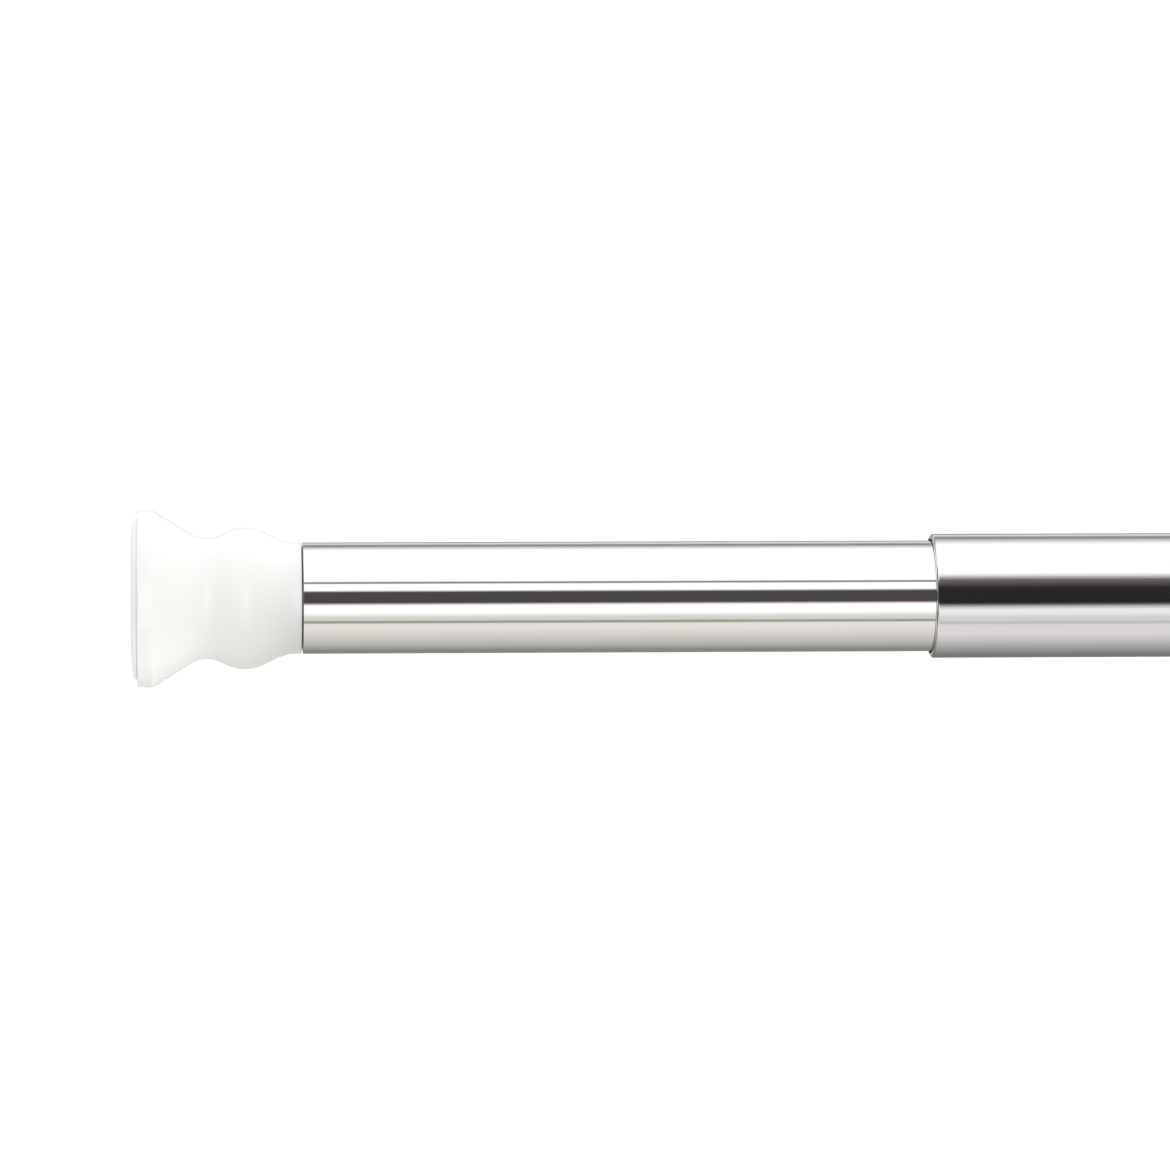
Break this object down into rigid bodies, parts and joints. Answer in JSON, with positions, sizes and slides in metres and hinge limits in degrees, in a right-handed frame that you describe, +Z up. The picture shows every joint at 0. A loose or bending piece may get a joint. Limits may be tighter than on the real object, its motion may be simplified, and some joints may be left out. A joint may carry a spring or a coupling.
{
  "type": "spring tension rod",
  "caption": "Telescoping spring tension rod: polished steel tubes with a twist lock and an inner spring, flared white end caps and soft pads that press between two facing walls.",
  "frame": {"origin": "centre of the flat face of the left wall pad, on the rod's axis", "axes": "+X along the rod from the left pad to the right pad, +Z up"},
  "size_m": [0.7197, 0.0398, 0.0398],
  "materials": {
    "inner_steel": "mirror polished, slightly warm",
    "outer_steel": "polished, faintly satin",
    "cap_plastic": "white, smooth gloss",
    "pad_rubber": "white, soft and matt",
    "spring_steel": "drawn wire, lightly oiled",
    "plated_steel": "zinc plated",
    "white_nylon": "natural nylon",
    "black_nylon": "black glass-filled nylon"
  },
  "bodies": {
    "inner_rod": {"inner_tube": "inner_steel", "left_end_cap": "cap_plastic", "left_wall_pad": "pad_rubber", "spring_stop": "white_nylon", "fixed_spring_washer": "plated_steel", "compression_spring": "spring_steel", "shaft_guide_bush": "white_nylon"},
    "spring_core": {"spring_shaft": "black_nylon", "moving_spring_washer": "plated_steel", "lock_cam": "black_nylon", "lock_end_disc": "black_nylon", "lock_washer": "plated_steel", "lock_screw": "plated_steel"},
    "twist_ring": {"lock_ring": "white_nylon"},
    "outer_rod": {"outer_tube": "outer_steel", "right_end_cap": "cap_plastic", "right_wall_pad": "pad_rubber"}
  },
  "joints": [
    {"name": "spring_travel", "type": "slide", "parent": "inner_rod", "child": "spring_core", "axis": [-1, 0, 0], "range_m": [0, 0.03], "stiffness_N_per_m": 2100, "springref_m": -0.012, "deforming": ["compression_spring"]},
    {"name": "twist_lock", "type": "hinge", "parent": "spring_core", "child": "twist_ring", "pos_m": [0.533, 0, 0.00045], "axis": [1, 0, 0], "range_deg": [0, 55]},
    {"name": "telescope", "type": "slide", "parent": "twist_ring", "child": "outer_rod", "axis": [1, 0, 0], "range_m": [-0.11, 0.168]}
  ]
}
